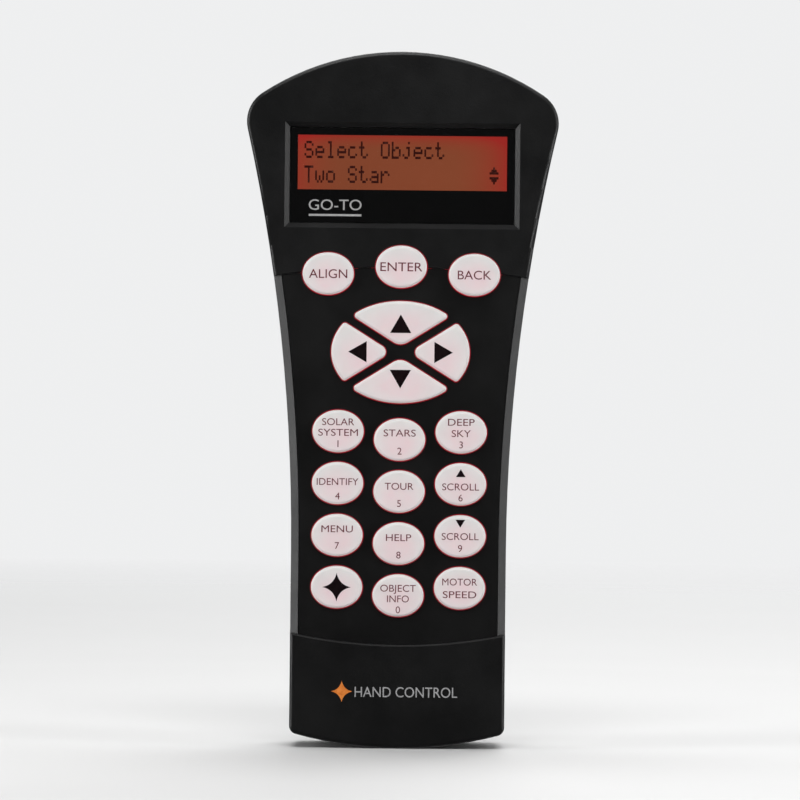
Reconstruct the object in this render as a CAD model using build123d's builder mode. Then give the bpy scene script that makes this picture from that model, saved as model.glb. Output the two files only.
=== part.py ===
from build123d import *
from math import hypot, sqrt
import os

# Hand controller for a telescope mount, in millimetres.
# X runs to the right as seen from the front, Z runs up the handle, and the front faces -Y.
# The origin is the middle of the flat back. A height is a distance in front of the back,
# so a plane at a height h is Plane.XZ.offset(h), which lies at Y = -h and looks along -Y.

os.makedirs("parts", exist_ok=True)

# ---------------------------------------------------------------- case outline, front view
CROWN_Z = 102.0          # top of the crown
CROWN_R = 74.5
TOE_Z = -102.0           # lowest point of the bottom end
TOE_R = 114.0
HANDLE_HALF = 31.5       # half the width of the handle
FLARE_Z = -44.0          # where the straight sides start to flare
FLARE_R = 551.0
SHOULDER_R = 10.0
HEEL_R = 2.5

# ---------------------------------------------------------------- case section, heights
PARTING = 13.0           # joint between the two shells
FRONT = 28.0             # face of the bezel and the apron
WALL = 2.2               # side and back walls
PLATE = 2.4              # front wall
EDGE_R = 1.2             # rounded front edge
MIN_CORNER_R = 0.5       # least corner radius inside the rear shell
REAR_R = 8.0             # rounded back edge
REVEAL = 0.35            # chamfer that makes the line between the shells
OVERCUT = 1.0            # how far a cut runs past the face it opens

# ---------------------------------------------------------------- keypad panel
PANEL_FACE = 27.5
PANEL_T = 1.9
PANEL_GAP = 0.12
BEVEL_WIDTH = 2.2        # sloped rim beside the panel
BEVEL_DROP = 1.8
RIM_FLAT = 0.2
SEAM_REACH = 50.0        # half width over which a seam's sag is given
UPPER_SEAM_Z = 38.8
UPPER_SEAM_SAG = 5.3
LOWER_SEAM_Z = -71.7
LOWER_SEAM_SAG = 8.4
SEAM_BEVEL = 0.45        # slope along the front shell's two seams, width and depth alike
LEDGE_T = 1.2
LEDGE_WIDTH = 2.0
PANEL_BACK = PANEL_FACE - PANEL_T

# ---------------------------------------------------------------- keys
KEY_HALF_X = 7.5
KEY_HALF_Z = 6.2
ENTER_Z = 39.0
SIDE_KEY_X = 21.4
SIDE_KEY_Z = 36.8
COLUMN_PITCH = 18.0
ROW_PITCH = 15.2
FIRST_ROW_Z = -9.3
MIDDLE_DROP = 2.3        # the middle column sits this much lower
PAD_Z = 14.0             # centre of the four arrow keys
PAD_HALF_X = 20.25
PAD_HALF_Z = 14.95
PAD_BAR = 2.7            # space between two arrow keys
PAD_BAR_ANGLE = 32.0
PAD_CORNER_R = 1.0
PAD_WIDE_TIP_R = 4.0     # inner tip of the up and down keys
PAD_NARROW_TIP_R = 2.0   # inner tip of the left and right keys
PLUNGER_OUT_X = 12.5     # plungers of the arrow keys, from the pad's centre
PLUNGER_OUT_Z = 8.2
KEY_TOP = 28.6
KEY_RIM_R = 0.9
KEY_GAP = 0.3            # key to panel, all round
KEY_TRAVEL = 1.0
FLANGE_OUT = 0.8
FLANGE_T = 1.0
FLANGE_TOP = PANEL_BACK - 0.3
FLANGE_BOTTOM = FLANGE_TOP - FLANGE_T
FLANGE_ROOM = 0.6        # clearance of the flange in the shell's ledge
PLUNGER_R = 3.0
PILL_R = 2.6
PILL_T = 0.5

# ---------------------------------------------------------------- board and keypad web
BOARD_TOP = 20.5
BOARD_T = 1.6
BOARD_BACK = BOARD_TOP - BOARD_T
PAD_T = 0.1
PAD_R = 3.2
PAD_SLIT = 0.5
CONTACT_CLEAR = 0.05     # left between pill and pad with the key fully down
PILL_BACK = BOARD_TOP + PAD_T + KEY_TRAVEL + CONTACT_CLEAR
PILL_FRONT = PILL_BACK + PILL_T
WEB_T = 1.2
WEB_HOLE_X = 5.6
WEB_HOLE_Z = 4.5
WEB_HALF = 25.4
WEB_TOP_HALF = 29.6
WEB_STEP_Z = 28.4
WEB_TOP_Z = 46.5
WEB_BOTTOM_Z = -65.0
BOARD_HALF = 28.0
BOARD_NECK_HALF = 32.0
BOARD_NECK_Z = 30.0
BOARD_HEAD_HALF = 40.0
BOARD_HEAD_Z = 68.0
BOARD_TOP_Z = 86.5
BOARD_FOOT_Z = -87.0
BOARD_TONGUE_HALF = 19.0
BOARD_TONGUE_Z = -95.0
LED_X_SIZE = 1.6
LED_Z_SIZE = 0.8
LED_T = 0.7
LED_ROOM = 0.3           # web to lamp, all round
LED_X = 9.0
LED_ROWS = (-2.6, -17.8, -33.0, -48.2, 32.6)
CHIP_STANDOFF = 0.2
CHIPS = [                # middle, body width, length and thickness, leads, their pitch and reach
    ((0.0, 14.0), (14.0, 14.0, 1.8), 11, 1.1, 1.2),
    ((-13.0, -18.0), (7.5, 10.2, 2.2), 8, 1.2, 1.3),
    ((12.0, -20.0), (4.0, 5.0, 1.7), 4, 1.2, 1.1),
]
SMALL_PART_X = 2.0
SMALL_PART_Z = 1.25
SMALL_PART_T = 0.9
SMALL_PARTS = [
    (-8.0, 28.0),
    (-4.0, 28.0),
    (4.0, 28.0),
    (8.0, 28.0),
    (-20.0, 2.0),
    (20.0, 2.0),
    (-20.0, -34.0),
    (20.0, -34.0),
    (6.0, -44.0),
    (-6.0, -44.0),
    (14.0, -62.0),
    (-14.0, -62.0),
]
TALL_PART_R = 2.5
TALL_PART_H = 5.4
TALL_PARTS = [(16.0, -48.0), (-16.0, -48.0)]

# ---------------------------------------------------------------- display
LENS_X = 65.6
LENS_Z = 27.8
LENS_MID_Z = 65.7
LENS_T = 1.35
LENS_SLOPE = 1.4         # sloped wall round the lens, width and depth alike
LENS_GAP = 0.2
LENS_CORNER_R = 0.5
LENS_EDGE = 0.15         # chamfer round the lens face
GASKET_T = 0.15
GASKET_INSET = 0.2
SEAT_T = 1.2
SEAT_RIM_X = 3.0         # the seat plate reaches this far outside the lens
SEAT_RIM_Z = 2.5
VIEW_X = 61.0            # viewing area of a two-line display
VIEW_Z = 15.8
VIEW_MID_Z = 69.5
VIEW_MARGIN = 0.9
GLASS_X = 66.0
GLASS_Z = 22.0
GLASS_T = 1.4
GUIDE_T = 1.2
GUIDE_GAP = 0.4          # light guide to contact strip
ZEBRA_WIDTH = 1.8
ZEBRA_INSET = 2.0
FRAME_T = 0.5            # sheet thickness of the display's metal frame
FRAME_FIT = 0.1          # frame to glass, all round
FRAME_CORNER_R = 0.5
FRAME_MARGIN = 0.2       # opening outside the viewing area
FRAME_TAB = 2.4
LENS_FACE = FRONT - LENS_SLOPE
SEAT_TOP = LENS_FACE - LENS_T - GASKET_T
SEAT_BACK = SEAT_TOP - SEAT_T
GLASS_BACK = BOARD_TOP + GUIDE_T
GLASS_FRONT = GLASS_BACK + GLASS_T

# ---------------------------------------------------------------- screws and bosses
CASE_SCREWS = [(24.0, 86.5), (-24.0, 86.5), (19.0, -75.0), (-19.0, -75.0)]
CASE_POST_R = 4.4
CASE_BOSS_R = 3.2
BOSS_ROOM = 0.5          # board to case boss
CASE_SHANK_R = 1.45
CASE_HOLE_R = 1.5
CASE_CLEAR_R = 1.7
CASE_HEAD_R = 2.8
CASE_HEAD_T = 2.0
COUNTERBORE_R = 3.2
COUNTERBORE_DEPTH = 6.0
CASE_SCREW_TIP = 22.0
CASE_HOLE_END = 23.0
BOARD_SCREWS = [
    (37.4, 83.0),
    (-37.4, 83.0),
    (29.4, 22.0),
    (-29.4, 22.0),
    (23.5, -83.0),
    (-23.5, -83.0),
]
BOARD_BOSS_R = 2.6
BOARD_SHANK_R = 1.1
BOARD_HOLE_R = 1.15
BOARD_HEAD_R = 2.2
BOARD_HEAD_T = 1.5
BOARD_SCREW_TIP = 23.6
BOARD_HOLE_END = 24.0
RECESS_R = 1.15          # cross recess in a screw head
RECESS_W = 0.6
RECESS_DEPTH = 1.0
RECESS_SHARE = 0.6       # a recess is never deeper than this share of its head

# ---------------------------------------------------------------- bottom end
GLAND_X = -11.5
GLAND_BORE_R = 2.7
GLAND_GROOVE_R = 4.2
GLAND_LIP_R = 5.3
GLAND_TAIL_R = 4.0
GLAND_FIT = 0.05
GLAND_LIP_EDGE_R = 0.5
SPOT_Z = -100.8          # flat in the bottom end on which the gland's lip bears
END_INNER_Z = -98.4      # inner side of the bottom wall round the gland and the jack
GLAND_FLANGE_Z = -96.8
GLAND_TOP_Z = -93.0
JACK_X = 11.5
JACK_WIDTH = 11.2
JACK_HEIGHT = 11.4
JACK_LENGTH = 15.0
JACK_MOUTH_Z = -100.6
JACK_SLOT_X = 7.8
JACK_SLOT_Y = 6.8
JACK_SLOT_DEPTH = 11.6
JACK_SLOT_LOW = 2.2      # slot's back side above the housing's back side
JACK_LATCH_X = 4.2
JACK_LATCH_Y = 1.4
JACK_FIT = 0.15
JACK_MOUTH_CHAMFER = 0.3
CONTACTS = 4
CONTACT_PITCH = 1.27
CONTACT_W = 0.45
CONTACT_T = 0.35
CONTACT_SETBACK = 1.6    # contacts start this far inside the mouth
CONTACT_DROP = 2.2       # they slope this far into the slot
CONTACT_END_GAP = 1.2
HEADER_WIDTH = 15.0
HEADER_DEPTH = 5.6
HEADER_HEIGHT = 6.0
HEADER_WALL = 0.9
HEADER_SHIFT_X = 2.5     # towards the middle from the gland's axis
HEADER_ABOVE_GLAND = 4.0
HEADER_PINS = 6
HEADER_PITCH = 2.0
HEADER_PIN_W = 0.6
HEADER_PIN_SHORT = 1.0   # pins end this far inside the header's mouth

# ---------------------------------------------------------------- rear label
LABEL_X = 46.0
LABEL_Z = 26.0
LABEL_MID_Z = 58.0
LABEL_T = 0.3
LABEL_DEPTH = 0.45
LABEL_R = 2.0
LABEL_GAP = 0.2

NUMBER_KEYS = [
    ["key_1", "key_2", "key_3"],
    ["key_4", "key_5", "key_6"],
    ["key_7", "key_8", "key_9"],
    ["key_symbol", "key_0", "key_speed"],
]
ROUND_KEYS = {
    "key_enter": (0.0, ENTER_Z),
    "key_align": (-SIDE_KEY_X, SIDE_KEY_Z),
    "key_back": (SIDE_KEY_X, SIDE_KEY_Z),
}
TOP_KEYS = list(ROUND_KEYS)
for row, names in enumerate(NUMBER_KEYS):
    for column, name in enumerate(names):
        drop = MIDDLE_DROP if column == 1 else 0.0
        ROUND_KEYS[name] = ((column - 1) * COLUMN_PITCH, FIRST_ROW_Z - row * ROW_PITCH - drop)
ARROW_KEYS = {
    "key_up": (0.0, PAD_Z + PLUNGER_OUT_Z),
    "key_down": (0.0, PAD_Z - PLUNGER_OUT_Z),
    "key_left": (-PLUNGER_OUT_X, PAD_Z),
    "key_right": (PLUNGER_OUT_X, PAD_Z),
}
KEYS = {**ROUND_KEYS, **ARROW_KEYS}


def save(builder, name):
    """Label a finished piece and write it to its own file."""
    builder.part.label = name
    export_step(builder.part, f"parts/{name}.step")


# ---------------------------------------------------------------- shared outlines


def shoulder_corner(inset):
    """Where the arcs of the crown and the flare meet, both moved in by inset."""
    crown_r = CROWN_R - inset
    flare_r = FLARE_R + inset
    across = HANDLE_HALF + FLARE_R
    along = FLARE_Z - (CROWN_Z - CROWN_R)
    apart = hypot(across, along)
    reach = (apart**2 + crown_r**2 - flare_r**2) / (2 * apart)
    rise = sqrt(crown_r**2 - reach**2)
    x = (reach * across - rise * along) / apart
    z = (reach * along + rise * across) / apart + CROWN_Z - CROWN_R
    return x, z


def case_outline(height, inset=0.0, heel_r=HEEL_R):
    """Front-view outline of the case on the plane at a height, moved in by inset."""
    half = HANDLE_HALF - inset
    heel_z = TOE_Z + TOE_R - sqrt((TOE_R - inset) ** 2 - half**2)
    shoulder_x, shoulder_z = shoulder_corner(inset)
    with BuildSketch(Plane.XZ.offset(height)) as outline:
        with BuildLine():
            crown = (0, CROWN_Z - inset)
            ThreePointArc((-shoulder_x, shoulder_z), crown, (shoulder_x, shoulder_z))
            for side in (-1, 1):
                Line((side * half, heel_z), (side * half, FLARE_Z))
                TangentArc((side * half, FLARE_Z), (side * shoulder_x, shoulder_z), tangent=(0, 1))
            ThreePointArc((-half, heel_z), (0, TOE_Z + inset), (half, heel_z))
        make_face()
        fillet(outline.vertices().group_by(Axis.Y)[-1], SHOULDER_R - inset)
        if heel_r > inset:
            fillet(outline.vertices().group_by(Axis.Y)[0], heel_r - inset)
    return outline.sketch


def keypad_zone(height, grow=0.0):
    """Band between the two curved seams, wider than the case, on the plane at a height."""
    top = UPPER_SEAM_Z + grow
    bottom = LOWER_SEAM_Z - grow
    with BuildSketch(Plane.XZ.offset(height)) as zone:
        with BuildLine():
            upper_end = top - UPPER_SEAM_SAG
            lower_end = bottom + LOWER_SEAM_SAG
            ThreePointArc((-SEAM_REACH, upper_end), (0, top), (SEAM_REACH, upper_end))
            Line((SEAM_REACH, upper_end), (SEAM_REACH, lower_end))
            ThreePointArc((SEAM_REACH, lower_end), (0, bottom), (-SEAM_REACH, lower_end))
            Line((-SEAM_REACH, lower_end), (-SEAM_REACH, upper_end))
        make_face()
    return zone.sketch


def panel_outline(height, grow=0.0):
    """Outline of the panel's pocket in the front shell, moved out by grow."""
    with BuildSketch(Plane.XZ.offset(height)) as outline:
        add(case_outline(0, BEVEL_WIDTH + RIM_FLAT - grow))
        add(keypad_zone(0, grow), mode=Mode.INTERSECT)
    return outline.sketch


def round_key(name, height, grow=0.0):
    """Outline of a round key, moved out by grow."""
    with BuildSketch(Plane.XZ.offset(height)) as outline:
        with Locations(ROUND_KEYS[name]):
            Ellipse(KEY_HALF_X + grow, KEY_HALF_Z + grow)
    return outline.sketch


def arrow_key(name, height, grow=0.0):
    """Outline of one arrow key: a quarter of an ellipse between two crossing bars."""
    wide = name in ("key_up", "key_down")
    with BuildSketch(Plane.XZ.offset(height)) as outline:
        with Locations((0, PAD_Z)):
            Ellipse(PAD_HALF_X + grow, PAD_HALF_Z + grow)
            for angle in (PAD_BAR_ANGLE, -PAD_BAR_ANGLE):
                Rectangle(3 * PAD_HALF_X, PAD_BAR - 2 * grow, rotation=angle, mode=Mode.SUBTRACT)
        quarters = outline.faces().sort_by(Axis.Y if wide else Axis.X)
        add(quarters[-1 if name in ("key_up", "key_right") else 0], mode=Mode.REPLACE)
        corners = outline.vertices().sort_by_distance((0, PAD_Z))
        fillet(corners[1:], PAD_CORNER_R + grow)
        tip = outline.vertices().sort_by_distance((0, PAD_Z))[0]
        fillet(tip, (PAD_WIDE_TIP_R if wide else PAD_NARROW_TIP_R) + grow)
    return outline.sketch


def key_outline(name, height, grow=0.0):
    """Outline of any key, moved out by grow."""
    make = round_key if name in ROUND_KEYS else arrow_key
    return make(name, height, grow)


def dots(height, places, radius):
    """Circles at places, on the plane at a height."""
    with BuildSketch(Plane.XZ.offset(height)) as circles:
        with Locations(*places):
            Circle(radius)
    return circles.sketch


def block(height, middle, size):
    """Rectangle of a size about a middle point, on the plane at a height."""
    with BuildSketch(Plane.XZ.offset(height)) as rectangle:
        with Locations(middle):
            Rectangle(*size)
    return rectangle.sketch


def end_hole(radius):
    """Circle about the gland's axis, seen from below, on the plane of the lowest point."""
    with BuildSketch(Plane.XY.offset(TOE_Z)) as circle:
        with Locations((GLAND_X, -PARTING)):
            Circle(radius)
    return circle.sketch


def cut_bottom_end():
    """Openings for the gland and the jack in the bottom wall of the shell being built."""
    extrude(end_hole(GLAND_LIP_R + JACK_FIT), amount=SPOT_Z - TOE_Z, mode=Mode.SUBTRACT)
    extrude(end_hole(GLAND_GROOVE_R + GLAND_FIT), amount=END_INNER_Z - TOE_Z, mode=Mode.SUBTRACT)
    with BuildSketch(Plane.XY.offset(TOE_Z)) as mouth:
        with Locations((JACK_X, -(BOARD_BACK - JACK_HEIGHT / 2))):
            Rectangle(JACK_WIDTH + 2 * JACK_FIT, JACK_HEIGHT + 2 * JACK_FIT)
    extrude(mouth.sketch, amount=END_INNER_Z - TOE_Z, mode=Mode.SUBTRACT)


# ---------------------------------------------------------------- front shell
with BuildPart() as middle_form:
    extrude(case_outline(PARTING), amount=PANEL_FACE - PARTING)
    middle_face = middle_form.faces().sort_by(Axis.Y)[0]
    chamfer(middle_face.edges(), length=BEVEL_WIDTH, length2=BEVEL_DROP, reference=middle_face)

with BuildPart() as bevel_cut:
    extrude(keypad_zone(PANEL_FACE - BEVEL_DROP), amount=FRONT - PANEL_FACE + BEVEL_DROP + OVERCUT)
    add(middle_form.part, mode=Mode.SUBTRACT)

with BuildPart() as front_shell:
    extrude(case_outline(PARTING), amount=FRONT - PARTING)
    fillet(front_shell.faces().sort_by(Axis.Y)[0].edges(), EDGE_R)
    chamfer(front_shell.faces().sort_by(Axis.Y)[-1].edges(), REVEAL)
    extrude(case_outline(PARTING, WALL), amount=FRONT - PLATE - PARTING, mode=Mode.SUBTRACT)
    add(bevel_cut.part, mode=Mode.SUBTRACT)
    # sloped edges along the two seams
    seam_low = keypad_zone(FRONT - SEAM_BEVEL)
    seam_high = keypad_zone(FRONT, SEAM_BEVEL)
    loft(seam_low.faces() + seam_high.faces(), mode=Mode.SUBTRACT)
    # ledge ring that carries the panel
    with BuildSketch(Plane.XZ.offset(PANEL_BACK - LEDGE_T)):
        add(panel_outline(0, LEDGE_WIDTH))
        add(case_outline(0, WALL / 2), mode=Mode.INTERSECT)
    extrude(amount=LEDGE_T)
    # seat plate behind the lens
    seat_size = (LENS_X + 2 * SEAT_RIM_X, LENS_Z + 2 * SEAT_RIM_Z)
    extrude(block(SEAT_BACK, (0, LENS_MID_Z), seat_size), amount=FRONT - PLATE - SEAT_BACK)
    # bosses for the board and for the case screws
    extrude(dots(BOARD_TOP, BOARD_SCREWS, BOARD_BOSS_R), amount=PANEL_BACK - BOARD_TOP)
    extrude(dots(PARTING, CASE_SCREWS, CASE_BOSS_R), amount=FRONT - PLATE - PARTING)
    # thick bottom wall round the gland and the jack
    with BuildSketch(Plane.XZ.offset(PARTING)):
        add(case_outline(0, WALL / 2))
        with Locations((0, (END_INNER_Z + TOE_Z) / 2)):
            Rectangle(2 * HANDLE_HALF, END_INNER_Z - TOE_Z, mode=Mode.INTERSECT)
    extrude(amount=FRONT - PLATE - PARTING)
    # pocket and opening of the panel, with openings for the keys that straddle the seam
    extrude(panel_outline(PANEL_BACK), amount=FRONT - PANEL_BACK + OVERCUT, mode=Mode.SUBTRACT)
    extrude(panel_outline(BOARD_TOP, -LEDGE_WIDTH), amount=FRONT - BOARD_TOP, mode=Mode.SUBTRACT)
    for name in TOP_KEYS:
        hole = key_outline(name, BOARD_TOP, KEY_GAP)
        extrude(hole, amount=FRONT - BOARD_TOP + OVERCUT, mode=Mode.SUBTRACT)
        room = key_outline(name, BOARD_TOP, FLANGE_OUT + FLANGE_ROOM)
        extrude(room, amount=PANEL_BACK - BOARD_TOP, mode=Mode.SUBTRACT)
    # sloped recess, lens pocket and window
    mouth_size = (LENS_X + 2 * LENS_GAP + 2 * LENS_SLOPE, LENS_Z + 2 * LENS_GAP + 2 * LENS_SLOPE)
    pocket_size = (LENS_X + 2 * LENS_GAP, LENS_Z + 2 * LENS_GAP)
    with BuildSketch(Plane.XZ.offset(FRONT)):
        with Locations((0, LENS_MID_Z)):
            Rectangle(*mouth_size)
    with BuildSketch(Plane.XZ.offset(LENS_FACE)):
        with Locations((0, LENS_MID_Z)):
            Rectangle(*pocket_size)
    loft(mode=Mode.SUBTRACT)
    extrude(block(SEAT_TOP, (0, LENS_MID_Z), pocket_size), amount=FRONT - SEAT_TOP, mode=Mode.SUBTRACT)
    window = (VIEW_X + 2 * VIEW_MARGIN, VIEW_Z + 2 * VIEW_MARGIN)
    extrude(block(SEAT_BACK, (0, VIEW_MID_Z), window), amount=SEAT_T, mode=Mode.SUBTRACT)
    # screw holes
    board_holes = dots(BOARD_TOP, BOARD_SCREWS, BOARD_HOLE_R)
    extrude(board_holes, amount=BOARD_HOLE_END - BOARD_TOP, mode=Mode.SUBTRACT)
    case_holes = dots(PARTING, CASE_SCREWS, CASE_HOLE_R)
    extrude(case_holes, amount=CASE_HOLE_END - PARTING, mode=Mode.SUBTRACT)
    cut_bottom_end()
save(front_shell, "front_shell")


# ---------------------------------------------------------------- rear shell
def rear_form(inset):
    """Back half of the case with its rounded back edge, moved in by inset."""
    with BuildPart() as form:
        extrude(case_outline(inset, inset, heel_r=0.0), amount=PARTING - inset)
        back = form.faces().sort_by(Axis.Y)[-1]
        toe = back.edges().sort_by(Axis.Z)[0]
        fillet(back.edges() - ShapeList([toe]), REAR_R - inset)
        end = form.faces().sort_by(Axis.Z)[0]
        seam = form.faces().sort_by(Axis.Y)[0].edges()
        fillet(end.edges() - seam, max(HEEL_R - inset, MIN_CORNER_R))
    return form.part


with BuildPart() as rear_shell:
    add(rear_form(0.0))
    chamfer(rear_shell.faces().sort_by(Axis.Y)[0].edges(), REVEAL)
    add(rear_form(WALL), mode=Mode.SUBTRACT)
    extrude(dots(WALL / 2, CASE_SCREWS, CASE_POST_R), amount=PARTING - WALL / 2)
    with BuildSketch(Plane.XZ.offset(WALL / 2)):
        add(case_outline(0, WALL / 2))
        with Locations((0, (END_INNER_Z + TOE_Z) / 2)):
            Rectangle(2 * HANDLE_HALF, END_INNER_Z - TOE_Z, mode=Mode.INTERSECT)
    extrude(amount=PARTING - WALL / 2)
    # counterbored holes for the case screws
    extrude(dots(0, CASE_SCREWS, CASE_CLEAR_R), amount=PARTING, mode=Mode.SUBTRACT)
    extrude(dots(0, CASE_SCREWS, COUNTERBORE_R), amount=COUNTERBORE_DEPTH, mode=Mode.SUBTRACT)
    # shallow recess for the label
    with BuildSketch(Plane.XZ):
        with Locations((0, LABEL_MID_Z)):
            RectangleRounded(LABEL_X + 2 * LABEL_GAP, LABEL_Z + 2 * LABEL_GAP, LABEL_R)
    extrude(amount=LABEL_DEPTH, mode=Mode.SUBTRACT)
    cut_bottom_end()
save(rear_shell, "rear_shell")

with BuildPart() as rear_label:
    with BuildSketch(Plane.XZ.offset(LABEL_DEPTH - LABEL_T)):
        with Locations((0, LABEL_MID_Z)):
            RectangleRounded(LABEL_X, LABEL_Z, LABEL_R)
    extrude(amount=LABEL_T)
save(rear_label, "rear_label")

# ---------------------------------------------------------------- keypad panel
with BuildPart() as keypad_panel:
    extrude(panel_outline(PANEL_BACK, -PANEL_GAP), amount=PANEL_T)
    for name in KEYS:
        extrude(key_outline(name, PANEL_BACK, KEY_GAP), amount=PANEL_T, mode=Mode.SUBTRACT)
save(keypad_panel, "keypad_panel")

# ---------------------------------------------------------------- keys and carbon pills
for name, centre in KEYS.items():
    with BuildPart() as key:
        extrude(key_outline(name, FLANGE_TOP), amount=KEY_TOP - FLANGE_TOP)
        fillet(key.faces().sort_by(Axis.Y)[0].edges(), KEY_RIM_R)
        extrude(key_outline(name, FLANGE_BOTTOM, FLANGE_OUT), amount=FLANGE_T)
        extrude(dots(PILL_FRONT, [centre], PLUNGER_R), amount=FLANGE_BOTTOM - PILL_FRONT)
    save(key, name)
    with BuildPart() as pill:
        extrude(dots(PILL_BACK, [centre], PILL_R), amount=PILL_T)
    save(pill, name.replace("key_", "pill_"))

# ---------------------------------------------------------------- silicone web behind the keys
with BuildPart() as keypad_web:
    with BuildSketch(Plane.XZ.offset(BOARD_TOP)):
        with Locations((0, (WEB_TOP_Z + WEB_BOTTOM_Z) / 2)):
            Rectangle(2 * WEB_HALF, WEB_TOP_Z - WEB_BOTTOM_Z)
        with Locations((0, (WEB_TOP_Z + WEB_STEP_Z) / 2)):
            Rectangle(2 * WEB_TOP_HALF, WEB_TOP_Z - WEB_STEP_Z)
        with Locations(*KEYS.values()):
            Ellipse(WEB_HOLE_X, WEB_HOLE_Z, mode=Mode.SUBTRACT)
        for led_z in LED_ROWS:
            with Locations((-LED_X, led_z), (LED_X, led_z)):
                Rectangle(LED_X_SIZE + 2 * LED_ROOM, LED_Z_SIZE + 2 * LED_ROOM, mode=Mode.SUBTRACT)
    extrude(amount=WEB_T)
save(keypad_web, "keypad_web")

# ---------------------------------------------------------------- main board
with BuildPart() as main_board:
    with BuildSketch(Plane.XZ.offset(BOARD_BACK)):
        with BuildLine():
            right = [
                (BOARD_TONGUE_HALF, BOARD_TONGUE_Z),
                (BOARD_TONGUE_HALF, BOARD_FOOT_Z),
                (BOARD_HALF, BOARD_FOOT_Z),
                (BOARD_HALF, 0),
                (BOARD_NECK_HALF, BOARD_NECK_Z),
                (BOARD_HEAD_HALF, BOARD_HEAD_Z),
                (BOARD_HEAD_HALF, BOARD_TOP_Z),
            ]
            left = [(-x, z) for x, z in reversed(right)]
            Polyline(*right, *left, close=True)
        make_face()
    extrude(amount=BOARD_T)
    extrude(dots(BOARD_BACK, BOARD_SCREWS, BOARD_HOLE_R), amount=BOARD_T, mode=Mode.SUBTRACT)
    boss_rooms = dots(BOARD_BACK, CASE_SCREWS, CASE_BOSS_R + BOSS_ROOM)
    extrude(boss_rooms, amount=BOARD_T, mode=Mode.SUBTRACT)
save(main_board, "main_board")

with BuildPart() as contact_pads:
    with BuildSketch(Plane.XZ.offset(BOARD_TOP)):
        with Locations(*KEYS.values()):
            Circle(PAD_R)
            Rectangle(2 * PAD_R, PAD_SLIT, mode=Mode.SUBTRACT)
    extrude(amount=PAD_T)
save(contact_pads, "contact_pads")

with BuildPart() as key_leds:
    with BuildSketch(Plane.XZ.offset(BOARD_TOP)):
        for led_z in LED_ROWS:
            with Locations((-LED_X, led_z), (LED_X, led_z)):
                Rectangle(LED_X_SIZE, LED_Z_SIZE)
    extrude(amount=LED_T)
save(key_leds, "key_leds")


def chip(middle, body, leads, pitch, reach):
    """Flat chip on the back of the board with a row of leads on two sides."""
    width, length, thick = body
    with BuildPart() as package:
        extrude(block(BOARD_BACK - thick, middle, (width, length)), amount=thick - CHIP_STANDOFF)
        with BuildSketch(Plane.XZ.offset(BOARD_BACK - thick / 2)):
            with Locations(middle):
                with GridLocations(0, pitch, 1, leads):
                    Rectangle(width + 2 * reach, pitch / 2)
        extrude(amount=thick / 2)
    return package.part


with BuildPart() as control_chips:
    for middle, body, leads, pitch, reach in CHIPS:
        add(chip(middle, body, leads, pitch, reach))
save(control_chips, "control_chips")

with BuildPart() as board_parts:
    with BuildSketch(Plane.XZ.offset(BOARD_BACK - SMALL_PART_T)):
        with Locations(*SMALL_PARTS):
            Rectangle(SMALL_PART_X, SMALL_PART_Z)
    extrude(amount=SMALL_PART_T)
    extrude(dots(BOARD_BACK - TALL_PART_H, TALL_PARTS, TALL_PART_R), amount=TALL_PART_H)
save(board_parts, "board_parts")

# ---------------------------------------------------------------- display stack
with BuildPart() as lens:
    with BuildSketch(Plane.XZ.offset(SEAT_TOP + GASKET_T)):
        with Locations((0, LENS_MID_Z)):
            RectangleRounded(LENS_X, LENS_Z, LENS_CORNER_R)
    extrude(amount=LENS_T)
    chamfer(lens.faces().sort_by(Axis.Y)[0].edges(), LENS_EDGE)
save(lens, "lens")

with BuildPart() as lens_gasket:
    gasket_size = (LENS_X - 2 * GASKET_INSET, LENS_Z - 2 * GASKET_INSET)
    extrude(block(SEAT_TOP, (0, LENS_MID_Z), gasket_size), amount=GASKET_T)
    extrude(block(SEAT_TOP, (0, VIEW_MID_Z), window), amount=GASKET_T, mode=Mode.SUBTRACT)
save(lens_gasket, "lens_gasket")

with BuildPart() as lcd_glass:
    extrude(block(GLASS_BACK, (0, VIEW_MID_Z), (GLASS_X, GLASS_Z)), amount=GLASS_T)
save(lcd_glass, "lcd_glass")

guide_z = GLASS_Z - ZEBRA_WIDTH - GUIDE_GAP
guide_mid_z = VIEW_MID_Z - (GLASS_Z - guide_z) / 2
with BuildPart() as lcd_light_guide:
    extrude(block(BOARD_TOP, (0, guide_mid_z), (GLASS_X, guide_z)), amount=GUIDE_T)
save(lcd_light_guide, "lcd_light_guide")

zebra_mid_z = VIEW_MID_Z + (GLASS_Z - ZEBRA_WIDTH) / 2
with BuildPart() as zebra_strip:
    zebra_size = (GLASS_X - 2 * ZEBRA_INSET, ZEBRA_WIDTH)
    extrude(block(BOARD_TOP, (0, zebra_mid_z), zebra_size), amount=GUIDE_T)
save(zebra_strip, "zebra_strip")

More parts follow.
